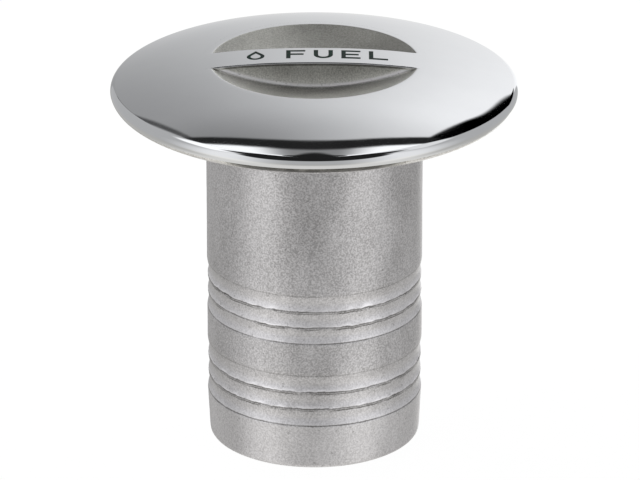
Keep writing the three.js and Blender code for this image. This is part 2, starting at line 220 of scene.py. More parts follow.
# ---------------------------------------------------------------- shader helpers
class Nodes:
    """Builds one node tree with short calls. A number or a socket can be given as any input."""

    def __init__(self, tree):
        self.tree = tree
        tree.nodes.clear()

    def add(self, kind, inputs=(), **settings):
        node = self.tree.nodes.new(kind)
        for name, value in settings.items():
            setattr(node, name, value)
        for name, value in dict(inputs).items():
            if isinstance(value, bpy.types.NodeSocket):
                self.tree.links.new(value, node.inputs[name])
            else:
                node.inputs[name].default_value = value
        return node

    def math(self, operation, first, *others, clamp=False):
        """One operation, on a single value or from left to right over several."""
        for other in others or (0.0,):
            inputs = {0: first, 1: other}
            first = self.add("ShaderNodeMath", inputs, operation=operation, use_clamp=clamp).outputs[0]
        return first

    def times(self, *values, clamp=False):
        return self.math("MULTIPLY", *values, clamp=clamp)

    def plus(self, *values):
        return self.math("ADD", *values)

    def minus(self, *values):
        return self.math("SUBTRACT", *values)

    def split(self, vector):
        return self.add("ShaderNodeSeparateXYZ", {0: vector}).outputs

    def from_axis(self, x, y):
        """Distance from the Z axis."""
        return self.math("SQRT", self.plus(self.times(x, x), self.times(y, y)))

    def ramp(self, value, start, end, low=0.0, high=1.0):
        """Rises smoothly from low to high while value goes from start to end."""
        inputs = {"Value": value, "From Min": start, "From Max": end, "To Min": low, "To Max": high}
        return self.add("ShaderNodeMapRange", inputs, interpolation_type="SMOOTHSTEP").outputs[0]

    def span(self, value, low, high, edge):
        """1 between low and high, with soft edges."""
        rise = self.ramp(value, low - edge, low + edge)
        return self.times(rise, self.ramp(value, high - edge, high + edge, 1, 0))

    def mix(self, share, a, b):
        """Between the colours a and b."""
        mixer = self.add("ShaderNodeMix", {"Factor": share}, data_type="RGBA")
        for socket, value in zip([s for s in mixer.inputs if s.type == "RGBA"], (a, b)):
            if isinstance(value, bpy.types.NodeSocket):
                self.tree.links.new(value, socket)
            else:
                socket.default_value = (*value, 1)
        return next(s for s in mixer.outputs if s.type == "RGBA")

    def noise(self, scale, detail, roughness, vector=None):
        """Noise from 0 to 1, with features of about 1 / scale metres."""
        inputs = {"Scale": scale, "Detail": detail, "Roughness": roughness, "Vector": vector or self.place()}
        return self.add("ShaderNodeTexNoise", inputs).outputs["Fac"]

    def place(self):
        """The point on the piece, which stays with the piece as its body moves."""
        return self.add("ShaderNodeTexCoord").outputs["Object"]

    def stretched(self, scale):
        return self.add("ShaderNodeMapping", {"Vector": self.place(), "Scale": scale}).outputs[0]

    def bump(self, height, distance, normal=None):
        inputs = {"Height": height, "Distance": distance, "Strength": 1.0}
        if normal:
            inputs["Normal"] = normal
        return self.add("ShaderNodeBump", inputs).outputs[0]


def material(name, shade):
    """A material whose look is built by shade(nodes), which gives the inputs of its Principled shader."""
    made = bpy.data.materials.new(name)
    made.use_nodes = True
    nodes = Nodes(made.node_tree)
    shader = nodes.add("ShaderNodeBsdfPrincipled", shade(nodes))
    output = nodes.add("ShaderNodeOutputMaterial")
    made.node_tree.links.new(shader.outputs[0], output.inputs["Surface"])
    return made


# ---------------------------------------------------------------- materials
def metal(colour, roughness, normal):
    return {"Base Color": colour, "Metallic": 1.0, "Roughness": roughness, "Normal": normal}


def polished(nodes):
    """Mirror polish with faint haze, wiping marks and the slight waves of hand buffing."""
    haze = nodes.noise(90, 4, 0.6)
    wipes = nodes.noise(1, 3, 0.6, nodes.stretched((60, 900, 300)))
    colour = nodes.mix(haze, (0.625, 0.63, 0.645), (0.675, 0.68, 0.69))
    waves = nodes.bump(nodes.noise(75, 2, 0.45), 9e-6)
    roughness = nodes.plus(nodes.ramp(haze, 0.3, 0.75, 0.012, 0.035), nodes.times(wipes, 0.015))
    return metal(colour, roughness, nodes.bump(wipes, 8e-7, waves))


# painted shade, grit and painted highlights of the neck's barbs, stored on its points
def attribute_shade_and_grit(nodes):
    return nodes.add("ShaderNodeAttribute", attribute_name="shade_and_grit").outputs["Fac"]


def pocket_shade_and_highlight(nodes):
    """Painted shadow just under the bar's front edges, painted shade in the far pocket that darkens towards
    +X, and a painted highlight along the bar's foot in the front pocket.
    """
    x, y, z = [nodes.times(side, 1 / MM) for side in nodes.split(nodes.place())]
    radius = nodes.from_axis(x, y)
    fallen = nodes.math("POWER", nodes.math("DIVIDE", radius, DOME_EDGE_R), DOME_POWER)
    depth = nodes.minus(CROWN_Z, z, nodes.times(fallen, DOME_DROP))
    bowl = nodes.times(nodes.math("POWER", radius, 2.0), BOWL_DEPTH / BOWL_R**2)
    above = nodes.minus(z, BOWL_FLOOR_Z, bowl)
    by_bar = nodes.span(y, -BAR_HALF_WIDTH - BAR_FOOT_ROUND - 0.2, 0, 0.1)
    # painted shadow just under the bar's front edge
    edge = nodes.times(nodes.span(depth, 0.1, 0.75, 0.15), by_bar, 0.75)
    # painted highlight along the bar's foot in the front pocket
    foot = nodes.times(nodes.span(above, 0.2, 1.0, 0.35), by_bar, -0.8)
    # painted shade in the far pocket, darker towards +X
    far = nodes.times(nodes.ramp(y, 4, 5), nodes.ramp(x, -22, 16, 0.2, 0.66))
    return nodes.plus(edge, foot, far)


def lip_shadow(nodes):
    """Painted shadow along the lip under the rim, in patches, darkest at the front and the back, and
    lightened a little at the sides.
    """
    out = nodes.math("ABSOLUTE", nodes.split(nodes.place())[1])
    patches = nodes.ramp(nodes.noise(240, 2, 0.6), 0.3, 0.6, 0.78, 1.0)
    return nodes.times(nodes.ramp(out, 0.0405, 0.0435, -0.25, 1.05), patches)


def blasted(dark, light, grain_size, grain_depth, roughness, shade_at=attribute_shade_and_grit):
    """Bead-blasted casting: fine pits, speckle and soft blotches.

    The function given as the last argument paints shade where its value is above 0, and a highlight where it
    is below.
    """

    def shade(nodes):
        grain = nodes.noise(1 / grain_size, 2, 0.6)
        pits = nodes.noise(0.5 / grain_size, 2, 0.5)
        blotch = nodes.noise(1, 4, 0.55, nodes.stretched((85, 85, 38)))
        # painted shade above 0 and painted highlight below 0
        shade_and_grit = shade_at(nodes)
        speckle = nodes.plus(nodes.ramp(grain, 0.32, 0.68, 0, 0.65), nodes.ramp(blotch, 0.3, 0.7, 0, 0.35))
        colour = nodes.mix(speckle, dark, light)
        specks = nodes.ramp(nodes.noise(0.42 / grain_size, 1, 0.5), 0.68, 0.76, 0, 0.3)
        # painted highlight: towards pale steel where the value is below 0
        highlighted = nodes.mix(nodes.times(shade_and_grit, -1.0, clamp=True), colour, (0.9, 0.885, 0.91))
        # painted shade where the value is above 0, joined by dark specks, towards near black
        shade_and_grit = nodes.math("MAXIMUM", nodes.times(shade_and_grit, 0.93, clamp=True), specks)
        shaded = nodes.mix(shade_and_grit, highlighted, (0.05, 0.047, 0.04))
        coarse = nodes.bump(pits, grain_depth * 1.6)
        rough = nodes.ramp(blotch, 0.25, 0.75, roughness - 0.06, roughness + 0.06)
        return metal(shaded, rough, nodes.bump(grain, grain_depth, coarse))

    return shade


def satin_turned(nodes):
    """Lathe-turned steel: fine rings of tool marks round the axis, with a few handling marks."""
    pitch = 0.00028
    x, y, z = nodes.split(nodes.place())
    across = nodes.plus(nodes.from_axis(x, y), z)
    rings = nodes.math("SINE", nodes.times(across, 2 * math.pi / pitch))
    wear = nodes.noise(260, 4, 0.6)
    colour = nodes.mix(wear, (0.52, 0.525, 0.53), (0.64, 0.645, 0.65))
    roughness = nodes.ramp(wear, 0.3, 0.7, 0.2, 0.34)
    return metal(colour, roughness, nodes.bump(rings, 2.2e-6, nodes.bump(wear, 8e-6)))


def drawn_wire(nodes):
    """Bright wire with drawing marks and dull spots."""
    marks = nodes.noise(900, 3, 0.6)
    spots = nodes.noise(350, 2, 0.5)
    colour = nodes.mix(spots, (0.55, 0.555, 0.565), (0.7, 0.705, 0.71))
    return metal(colour, nodes.ramp(marks, 0.3, 0.7, 0.14, 0.3), nodes.bump(marks, 5e-6))


def rubber(nodes):
    """Matte moulded nitrile with a dusty bloom."""
    bloom = nodes.noise(500, 4, 0.6)
    colour = nodes.mix(nodes.ramp(bloom, 0.45, 0.8), (0.013, 0.013, 0.014), (0.035, 0.035, 0.036))
    roughness = nodes.ramp(bloom, 0.3, 0.7, 0.5, 0.72)
    return {"Base Color": colour, "Roughness": roughness, "Normal": nodes.bump(bloom, 1.2e-5)}


def enamel(nodes):
    """Dark green enamel, a little uneven where it has sunk while drying."""
    pool = nodes.noise(1400, 3, 0.5)
    colour = nodes.mix(nodes.ramp(pool, 0.35, 0.75), (0.001, 0.008, 0.006), (0.004, 0.045, 0.028))
    roughness = nodes.ramp(pool, 0.3, 0.7, 0.4, 0.55)
    normal = nodes.bump(pool, 3e-5)
    return {"Base Color": colour, "Roughness": roughness, "Normal": normal, "Specular IOR Level": 0.08}


polished_steel = material("polished_steel", polished)
# the pockets' blasted steel, with painted shade and a painted highlight
pocket_look = blasted((0.44, 0.435, 0.405), (0.78, 0.775, 0.73), 0.00038, 2.2e-5, 0.38, pocket_shade_and_highlight)
pocket_steel = material("pocket_steel", pocket_look)
# the neck's blasted steel, with the barbs' painted shade, grit and highlights read from its points
neck_steel = material("neck_steel", blasted((0.3, 0.292, 0.296), (0.66, 0.648, 0.66), 0.0004, 2.6e-5, 0.34))
# the lip band's blasted steel, with the painted shadow under the rim
lip_look = blasted((0.2, 0.19, 0.17), (0.9, 0.88, 0.84), 0.0004, 5e-5, 0.3, lip_shadow)
lip_steel = material("lip_steel", lip_look)
turned_steel = material("turned_steel", satin_turned)
wire_steel = material("wire_steel", drawn_wire)
nitrile = material("nitrile_rubber", rubber)
green_enamel = material("green_enamel", enamel)


# ---------------------------------------------------------------- mesh helpers
SHARP_EDGE = math.radians(32)
WELD_DISTANCE = 0.0015


class Soup:
    """Parts of one surface in millimetres, joined at the end where their edges meet."""

    def __init__(self):
        self.points, self.faces, self.slots, self.exact = [], [], [], []
        self.count = 0

    def add(self, points, faces, slot=0, exact=False):
        """slot is the material's number, one for all faces or one each.

        Exact faces get their normals from a formula."""
        self.points.append(np.asarray(points, float))
        self.faces += [[i + self.count for i in face] for face in faces]
        self.slots += list(slot) if hasattr(slot, "__len__") else [slot] * len(faces)
        self.exact += [exact] * len(faces)
        self.count += len(points)

    def mesh(self, name, materials, normal_at=None):
        """One welded mesh in metres. normal_at(points) gives the exact faces' normals."""
        data = bpy.data.meshes.new(name)
        data.from_pydata(np.vstack(self.points).tolist(), [], self.faces)
        for made in materials:
            data.materials.append(made)
        data.polygons.foreach_set("material_index", self.slots)
        flag = data.attributes.new("exact", "INT", "FACE")
        flag.data.foreach_set("value", [int(e) for e in self.exact])
        b = bmesh.new()
        b.from_mesh(data)
        bmesh.ops.remove_doubles(b, verts=b.verts, dist=WELD_DISTANCE)
        bmesh.ops.recalc_face_normals(b, faces=b.faces)
        b.to_mesh(data)
        b.free()
        data.polygons.foreach_set("use_smooth", [True] * len(data.polygons))
        data.set_sharp_from_angle(angle=SHARP_EDGE)
        if normal_at:
            set_exact_normals(data, normal_at)
        data.attributes.remove(data.attributes["exact"])
        data.transform(Matrix.Scale(MM, 4))
        return data


def read(items, name, width=1, kind=np.float32):
    """One property of a mesh's items, with a row for each where it is wider than one number."""
    values = np.zeros(len(items) * width, kind)
    items.foreach_get(name, values)
    return values.reshape(-1, width) if width > 1 else values


def set_exact_normals(data, normal_at):
    corners = read(data.corner_normals, "vector", 3)
    by_point = normal_at(read(data.vertices, "co", 3).astype(float))
    corner_point = read(data.loops, "vertex_index", kind=np.int32)
    exact = read(data.attributes["exact"].data, "value", kind=np.int32)
    chosen = np.repeat(exact, read(data.polygons, "loop_total", kind=np.int32)).astype(bool)
    corners[chosen] = by_point[corner_point[chosen]]
    data.normals_split_custom_set(corners.tolist())


def show(name, data, body, slot, *nodes, location=(0, 0, 0), turn=0.0):
    """Puts a mesh in the scene on a CAD body, in place of CAD nodes."""
    made = bpy.data.objects.new(name, data)
    bpy.context.scene.collection.objects.link(made)
    made.location = Vector(location) * MM
    made.rotation_euler = (0, 0, turn)
    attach(made, body)
    if nodes:
        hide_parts(*nodes)


def rounded(corners, steps=5, closed=False):
    """An outline through [radius, height, reach] corners, each rounded over its reach."""
    line = []
    count = len(corners)
    for i, (x, z, reach) in enumerate(corners):
        here = np.array((x, z), float)
        if not reach or (not closed and i in (0, count - 1)):
            line.append(here)
            continue
        before = np.array(corners[i - 1][:2], float) - here
        after = np.array(corners[(i + 1) % count][:2], float) - here
        start = here + before / np.linalg.norm(before) * reach
        end = here + after / np.linalg.norm(after) * reach
        for share in np.linspace(0, 1, steps):
            line.append(start * (1 - share) ** 2 + here * 2 * share * (1 - share) + end * share**2)
    return np.array(line)


def turned(profiles, angles, closed=True):
    """Points and faces of a profile turned about Z.

    profiles is one [radius, height] outline, or one for each angle. Points on the axis are shared."""
    profiles = np.asarray(profiles, float)
    if profiles.ndim == 2:
        profiles = np.repeat(profiles[None], len(angles), axis=0)
    sides, rows = profiles.shape[:2]
    radius, height = profiles[..., 0], profiles[..., 1]
    turn = np.asarray(angles)[:, None]
    points = np.stack((radius * np.cos(turn), radius * np.sin(turn), height), axis=-1).reshape(-1, 3)
    faces = []
    for row in range(rows if closed else rows - 1):
        upper = (row + 1) % rows
        on_axis = radius[0, row] < 1e-6, radius[0, upper] < 1e-6
        if all(on_axis):
            continue
        for i in range(sides):
            j = (i + 1) % sides
            if on_axis[0]:
                faces.append([row, j * rows + upper, i * rows + upper])
            elif on_axis[1]:
                faces.append([i * rows + row, j * rows + row, upper])
            else:
                faces.append([i * rows + row, j * rows + row, j * rows + upper, i * rows + upper])
    return points, faces


def even(sides):
    return np.arange(sides) * 2 * math.pi / sides


def ring(radius, angles, x=0.0, y=0.0):
    return np.column_stack((x + radius * np.cos(angles), y + radius * np.sin(angles)))


def circle(radius, sides, x=0.0, y=0.0):
    return ring(radius, even(sides), x, y)


def inside(points, loop):
    """Which points lie inside a closed outline."""
    x, y = points[:, 0], points[:, 1]
    within = np.zeros(len(points), bool)
    for (ax, ay), (bx, by) in zip(loop, np.roll(loop, -1, axis=0)):
        if ay == by:
            continue
        crosses = (ay > y) != (by > y)
        within ^= crosses & (x < ax + (y - ay) * (bx - ax) / (by - ay))
    return within


def triangulate(loops, lines=(), free=()):
    """Triangles over closed loops, open lines and free points: (points, triangles, their middles)."""
    points, edges = [], []
    for loop in loops:
        start = len(points)
        points += [tuple(p) for p in loop]
        edges += [(start + i, start + (i + 1) % len(loop)) for i in range(len(loop))]
    for line in lines:
        start = len(points)
        points += [tuple(p) for p in line]
        edges += [(start + i, start + i + 1) for i in range(len(line) - 1)]
    points += [tuple(p) for p in free]
    made = delaunay_2d_cdt([Vector(p) for p in points], edges, [], 0, 1e-5)
    flat = np.array([tuple(p) for p in made[0]])
    triangles = np.array([tuple(f) for f in made[2]])
    return flat, triangles, flat[triangles].mean(axis=1)


def plate(outline, holes, height):
    """Points and faces of a flat plate at a height, within an outline and outside holes."""
    flat, triangles, middles = triangulate([outline, *holes])
    kept = inside(middles, outline)
    for hole in holes:
        kept &= ~inside(middles, hole)
    return np.column_stack((flat, np.full(len(flat), height))), triangles[kept].tolist()


def quads(loops, sides, wrap=False):
    """Faces between neighbouring loops of points, and from the last to the first where they wrap round."""
    faces = []
    for loop in range(loops if wrap else loops - 1):
        here = loop * sides
        there = (loop + 1) % loops * sides
        for i in range(sides):
            j = (i + 1) % sides
            faces.append([here + i, here + j, there + j, there + i])
    return faces


def tube(loops):
    """Points and faces of the walls between loops of equal length, given one above another."""
    return np.vstack(loops), quads(len(loops), len(loops[0]))


def lathe(name, profiles, sides, made_of):
    """One mesh of a closed profile turned about Z."""
    soup = Soup()
    soup.add(*turned(profiles, even(sides)))
    return soup.mesh(name, [made_of])


def at_height(loop, height):
    return np.column_stack((loop, np.full(len(loop), height)))


def wire_loop(path, across, wire_r, sides, swell=1.0):
    """A closed wire along a path of [x, y, z] points; across is the direction out of the path's plane."""
    path = np.asarray(path, float)
    ahead = np.roll(path, -1, axis=0) - np.roll(path, 1, axis=0)
    ahead /= np.linalg.norm(ahead, axis=1)[:, None]
    side = np.cross(ahead, across)
    turn = even(sides)[None, :, None]
    radius = wire_r * swell * np.ones(len(path))
    section = np.cos(turn) * side[:, None] + np.sin(turn) * np.asarray(across, float)[None, None]
    points = path[:, None] + section * radius[:, None, None]
    return points.reshape(-1, 3), quads(len(path), sides, wrap=True)


def hexagon_radius(angles, corner_r):
    """Distance from the centre to a hexagon's side at each angle."""
    within = np.mod(angles, math.pi / 3) - math.pi / 6
    return corner_r * math.cos(math.pi / 6) / np.cos(within)


def smooth_noise(x, y, z, scale):
    """Noise between about -1 and 1, with features of about scale millimetres."""
    return noise.noise(Vector((x, y, z)) / scale)


def bell(offset, width):
    return np.exp(-(offset / width) ** 2)


# ---------------------------------------------------------------- dome of the cap
def dome_height(radius):
    return CROWN_Z - DOME_DROP * (radius / DOME_EDGE_R) ** DOME_POWER


def bowl_height(radius):
    return BOWL_FLOOR_Z + BOWL_DEPTH * (radius / BOWL_R) ** 2


def crown_height(x, y):
    """Height of the cap's upper surface: the dome, with the bowl sunk in it and the bar across."""
    radius = np.hypot(x, y)
    top = dome_height(radius)
    bowl = bowl_height(radius)
    sunk = (top + bowl - np.sqrt((top - bowl) ** 2 + BOWL_EDGE_SOFTNESS**2)) / 2
    depth = top - sunk
    edge = np.minimum(BAR_EDGE_ROUND, 0.45 * depth)
    foot = np.minimum(BAR_FOOT_ROUND, 0.45 * depth)
    out = np.abs(y) - BAR_HALF_WIDTH
    on_edge = edge - np.sqrt(np.maximum(edge**2 - np.clip(out + edge, 0, edge) ** 2, 0))
    on_wall = edge + (depth - edge - foot) * np.clip(out / BAR_DRAFT, 0, 1)
    to_foot = np.clip(BAR_DRAFT + foot - out, 0, foot)
    on_foot = depth - foot + np.sqrt(np.maximum(foot**2 - to_foot**2, 0))
    drop = np.where(out < 0, on_edge, np.where(out < BAR_DRAFT, on_wall, on_foot))
    return top - drop


def crown_normal(points):
    step = 0.004
    x, y = points[:, 0], points[:, 1]
    slope_x = (crown_height(x + step, y) - crown_height(x - step, y)) / (2 * step)
    slope_y = (crown_height(x, y + step) - crown_height(x, y - step)) / (2 * step)
    normal = np.column_stack((-slope_x, -slope_y, np.ones(len(x))))
    return normal / np.linalg.norm(normal, axis=1)[:, None]


def crown_samples():
    """Free points for the crown's mesh, close together along the bowl's rim and the bar's edges."""
    ring_offsets = (1.3, 0.85, 0.55, 0.35, 0.22, 0.14, 0.07, -0.07, -0.14, -0.22, -0.35, -0.6, -1.0)
    free = [circle(BOWL_R + offset, CROWN_SIDES) for offset in ring_offsets]
    row_offsets = (-0.9, -0.5, -0.28, -0.24, -0.2, -0.15, -0.1, -0.05, -0.015, 0.03, 0.06, 0.09, 0.12,
                   0.16, 0.22, 0.3, 0.4, 0.52, 0.66, 0.82, 1.0, 1.2, 1.42, 1.66, 1.92, 2.2)
    columns = np.concatenate((np.arange(-25.2, -20.9, 0.2), np.arange(-20.8, 20.9, 0.4),
                              np.arange(21, 25.3, 0.2)))
    for side in (-1, 1):
        for offset in row_offsets:
            free.append(np.column_stack((columns, np.full(len(columns), side * (BAR_HALF_WIDTH + offset)))))
    spacing = 0.8
    lines = enumerate(np.arange(-25, 25.1, spacing))
    lattice = np.array([(x + spacing / 2 * (row % 2), y) for row, y in lines
                        for x in np.arange(-25, 25, spacing)])
    apart = np.abs(np.abs(lattice[:, 1]) - BAR_HALF_WIDTH - 0.65)
    free.append(lattice[(apart > 1.9) & (np.hypot(*lattice.T) < BOWL_R - 1.2)])
    free = np.vstack(free)
    return free[np.hypot(*free.T) < CROWN_MESH_R - 0.2]


def bar_edges():
    """The two upper edges of the bar's walls, where polish meets blasting."""
    end = math.sqrt(BOWL_R**2 - BAR_HALF_WIDTH**2)
    columns = np.arange(-end, end, 0.4)
    return [np.column_stack((columns, np.full(len(columns), side * BAR_HALF_WIDTH))) for side in (-1, 1)]


# The label's strokes: each is a closed outline in the plane of the grip bar.
def block(left, low, right, high):
    return np.array(((left, low), (right, low), (right, high), (left, high)), float)


def half_ring(x, y, outer, inner):
    """The lower half of a ring."""
    turn = np.linspace(math.pi, 2 * math.pi, 12)
    arc = np.column_stack((np.cos(turn), np.sin(turn)))
    return np.vstack((arc * outer, arc[::-1] * inner)) + (x, y)


def drop_outline(radius, tip):
    """A drop: most of a circle, drawn out to a point above it."""
    lean = math.acos(radius / tip)
    turn = np.linspace(math.pi / 2 + lean, math.pi / 2 - lean + 2 * math.pi, 20)
    arc = np.column_stack((np.cos(turn), np.sin(turn))) * radius
    return np.vstack((arc, (0, tip))) + (DROP_X, DROP_Y)


def word_strokes():
    low, high = LABEL_Y - LABEL_HEIGHT / 2, LABEL_Y + LABEL_HEIGHT / 2
    thick = LABEL_STROKE
    middle = LABEL_Y - thick / 2
    strokes = []
    for place, letter in enumerate("FUEL"):
        left = WORD_START_X + place * LETTER_PITCH
        right = left + LETTER_WIDTH
        if letter == "U":
            half = LETTER_WIDTH / 2
            bend = low + half
            strokes += [block(left, bend, left + thick, high), block(right - thick, bend, right, high)]
            strokes.append(half_ring(left + half, bend, half, half - thick))
            continue
        strokes.append(block(left, low, left + thick, high))
        if letter in "FE":
            strokes.append(block(left + thick, high - thick, right, high))
            strokes.append(block(left + thick, middle, right - 0.4, middle + thick))
        if letter in "EL":
            strokes.append(block(left + thick, low, right, low + thick))
    return strokes


def label_loops():
    """Outlines of the word and the drop, with the drop's inner outline last."""
    return word_strokes(), drop_outline(DROP_R, DROP_TIP), drop_outline(HOLLOW_R, HOLLOW_TIP)


def in_label(middles, word, drop, hollow):
    marked = inside(middles, drop) & ~inside(middles, hollow)
    for stroke in word:
        marked |= inside(middles, stroke)
    return marked


def border(triangles):
    """Edges that belong to one triangle only, in the triangle's direction."""
    edges = {(a, b) for t in triangles for a, b in zip(t, (t[1], t[2], t[0]))}
    return [(a, b) for a, b in edges if (b, a) not in edges]


def recess(soup, flat, triangles, top, bottom, slot):
    """Adds the floor and the walls of a recess below the surface heights in top."""
    count = len(flat)
    walls = [[a, b, b + count, a + count] for a, b in border(triangles)]
    floor = [[i + count for i in t] for t in triangles]
    upper, lower = np.column_stack((flat, top)), np.column_stack((flat, bottom))
    soup.add(np.vstack((upper, lower)), walls + floor, slot)


def rim_profiles():
    """From the crown's mesh over the rim, then round the gritty lip band that carries the painted shadow
    under the rim, then inside to the hub.
    """
    dome = [(r, dome_height(r)) for r in np.linspace(CROWN_MESH_R, CAP_R - RIM_ROUND, 44)]
    shoulder = (CAP_R, dome_height(CAP_R), RIM_ROUND)
    edge = rounded([(*dome[-1], 0), shoulder, (CAP_R, EQUATOR_Z - 0.35, 0)], 14)[1:-1]
    turn = np.radians(np.linspace(6, RIM_UNDER_DEG, 14))
    under = np.column_stack((CAP_R - RIM_UNDER_R * (1 - np.cos(turn)),
                             EQUATOR_Z - RIM_UNDER_HEIGHT * np.sin(turn)))
    grit_from = 3
    lip_end = rounded([(*under[-1], 0), (LIP_BORE_R, LIP_Z, 0.12), (LIP_BORE_R, LIP_Z + 0.6, 0)], 4)
    inner = rounded([(LIP_BORE_R, LIP_Z + 0.6, 0), (LIP_BORE_R, CEILING_Z - 2, 0.6),
                     (CEILING_R, CEILING_Z, 0.6), (HUB_R + 1, CEILING_Z, 0.4), (HUB_R, COVER_UNDER_Z, 0)], 4)
    return np.vstack((dome, edge, under[:grit_from + 1])), np.vstack((under[grit_from:-1], lip_end)), inner


def screw_holes(sides=32):
    return [circle(CAP_SCREW_HOLE_R, sides, side * CAP_SCREW_X) for side in (-1, 1)]


def make_label(flat, triangles, middles, height):
    """Enamel in the label's recesses, over the label's triangles."""
    of_word = middles[:, 0] > WORD_START_X - 1
    for name, chosen in (("label_word", of_word), ("label_drop", ~of_word)):
        fill = Soup()
        part = triangles[chosen].tolist()
        used = sorted({i for t in part for i in t})
        renumber = {old: new for new, old in enumerate(used)}
        part = [[renumber[i] for i in t] for t in part]
        upper, lower = height[used] - LABEL_FILL, height[used] - LABEL_DEPTH + 0.01
        fill.add(np.column_stack((flat[used], upper)), part)
        recess(fill, flat[used], part, upper, lower, 0)
        show(name, fill.mesh(name, [green_enamel]), "cap", "label_enamel")


def make_dome():
    word, drop, hollow = label_loops()
    loops = [circle(CROWN_MESH_R, CROWN_SIDES), circle(BOWL_R, CROWN_SIDES), *word, drop, hollow]
    free = crown_samples()
    near_word = (free[:, 0] > WORD_START_X - 1) & (free[:, 0] < WORD_START_X + 4 * LETTER_PITCH)
    near_drop = np.abs(free[:, 0] - DROP_X) < 3
    near = (near_word | near_drop) & (np.abs(free[:, 1] - LABEL_Y) < 3.4)
    flat, triangles, middles = triangulate(loops, bar_edges(), free[~near])
    height = crown_height(flat[:, 0], flat[:, 1])
    marked = in_label(middles, word, drop, hollow)
    pocket = (np.hypot(*middles.T) < BOWL_R) & (np.abs(middles[:, 1]) > BAR_HALF_WIDTH)

    soup = Soup()
    crown = np.column_stack((flat, height))
    soup.add(crown, triangles[~marked].tolist(), pocket[~marked].astype(int), exact=True)
    recess(soup, flat, triangles[marked].tolist(), height, height - LABEL_DEPTH, 1)
    for profile, slot in zip(rim_profiles(), (0, 2, 0)):
        soup.add(*turned(profile, even(CROWN_SIDES), closed=False), slot)
    soup.add(*plate(circle(HUB_R, CROWN_SIDES), screw_holes(), COVER_UNDER_Z))
    for hole in screw_holes():
        soup.add(*tube([at_height(hole, COVER_UNDER_Z), at_height(hole, SCREW_HOLE_TOP_Z)]))
        soup.add(at_height(hole, SCREW_HOLE_TOP_Z), [list(range(len(hole)))])
    data = soup.mesh("cap_dome", [polished_steel, pocket_steel, lip_steel], normal_at=crown_normal)
    show("cap_dome", data, "cap", "polished_steel", "cap_cover")
    make_label(flat, triangles[marked], middles[marked], height)


# ---------------------------------------------------------------- neck and flange
def barb_lines():
    """(height, strength, ragged) of the line that each step of the barbs makes round the neck."""
    lines = []
    for foot, step in BARB_GROUPS:
        lines.append((foot, 0.85, 0.3))
        lines += [(foot + step, 1.0, 1.0), (foot + 2 * step, 1.0, 1.0)]
        lines.append((foot + 3 * step, 0.45, 0.15))
    return lines


def neck_rows():
    """Heights and radii of the neck's outside, with more rows along the barbs' edges."""
    corners = [(NECK_END_R, NECK_END_ROUND)]
    for foot, step in BARB_GROUPS:
        corners.append((NECK_R, foot))
        for i in range(3):
            z = foot + i * step
            corners.append((NECK_R - BARB_DEPTH, z + BARB_RISE))
            if i < 2:
                corners.append((NECK_R - BARB_EDGE_DEPTH, z + step))
        corners.append((NECK_R, foot + 3 * step))
    corners.append((NECK_R, DECK_Z - NECK_FILLET))
    radii, heights = np.array(corners).T
    rows = [np.arange(NECK_END_ROUND + 0.7, DECK_Z - NECK_FILLET - 0.3, 0.85)]
    for z, _, ragged in barb_lines():
        rows.append(z + np.arange(-0.75, 0.5, 0.11 if ragged > 0.2 else 0.25))
    rows = spaced(np.round(np.concatenate(rows), 2), 0.06)
    return rows, np.interp(rows, heights, radii)


def neck_relief(angle, rows):
    """Change of radius, and painted shade and highlight, along one line up the neck: soft waves, grooves and
    grit on the barbs' edges, with painted shade in the grooves and below the edges.

    The second value is below 0 where a highlight is painted: glints and bands above the edges, and the foot."""
    x, y = NECK_R * math.cos(angle), NECK_R * math.sin(angle)
    change = np.array([0.035 * smooth_noise(x, y, z * 0.45, 7.0) + 0.02 * smooth_noise(x, y, z, 2.6)
                       for z in rows])
    shade_and_grit = np.zeros(len(rows))
    # painted highlight on the foot below the barbs
    highlight = np.where(rows < BARB_GROUPS[0][0], -FOOT_HIGHLIGHT, 0.0)
    for z, strength, ragged in barb_lines():
        wander = z + ragged * (0.16 * smooth_noise(x, y, z, 2.2) + 0.12 * smooth_noise(x, y, z, 0.7))
        amount = strength * (0.75 + 0.5 * smooth_noise(x, y, z + 9, 3.0))
        over = rows - wander
        # a groove along each edge, with painted shade in it
        line = bell(over, LINE_WIDTH) * amount
        change -= LINE_DEPTH * line
        shade_and_grit = np.maximum(shade_and_grit, line)
        # painted highlights: glints just above each edge and, on the full barbs, a band that fades upward
        glint = np.clip(0.45 + 0.9 * smooth_noise(x, y, z + 17, 2.4), 0, 1) * ragged
        highlight -= 0.8 * glint * bell(over - GLINT_ABOVE, GLINT_WIDTH)
        if strength > 0.5:
            highlight -= np.where(over > 0, BAND_HIGHLIGHT * np.clip(1 - over / HIGHLIGHT_BAND, 0, 1), 0)
        # on the ragged edges: a second line of painted shade below, and dark grit in the painted shade under
        # the edge, with chips in the surface
        if ragged > 0.5:
            second = 0.6 + 1.4 * smooth_noise(x, y, z + 31, 5.0)
            lower = bell(over + SECOND_LINE_BELOW, SECOND_LINE_WIDTH) * min(max(second, 0), 1)
            grit = bell(over + GRIT_BELOW, GRIT_WIDTH)
            chips = np.array([smooth_noise(x, y, h, 0.5) for h in rows])
            change += 0.05 * grit * chips - 0.06 * lower
            shade_and_grit = np.maximum(shade_and_grit, lower)
            shade_and_grit = np.maximum(shade_and_grit, 0.85 * grit * np.clip(chips * 2.0, 0, 1) * amount)
    return change, np.clip(np.where(shade_and_grit > 0.15, shade_and_grit, highlight), -1, 1)


def in_sectors(angle_deg, sectors):
    return any((angle_deg - start) % 360 < width for start, width in sectors)


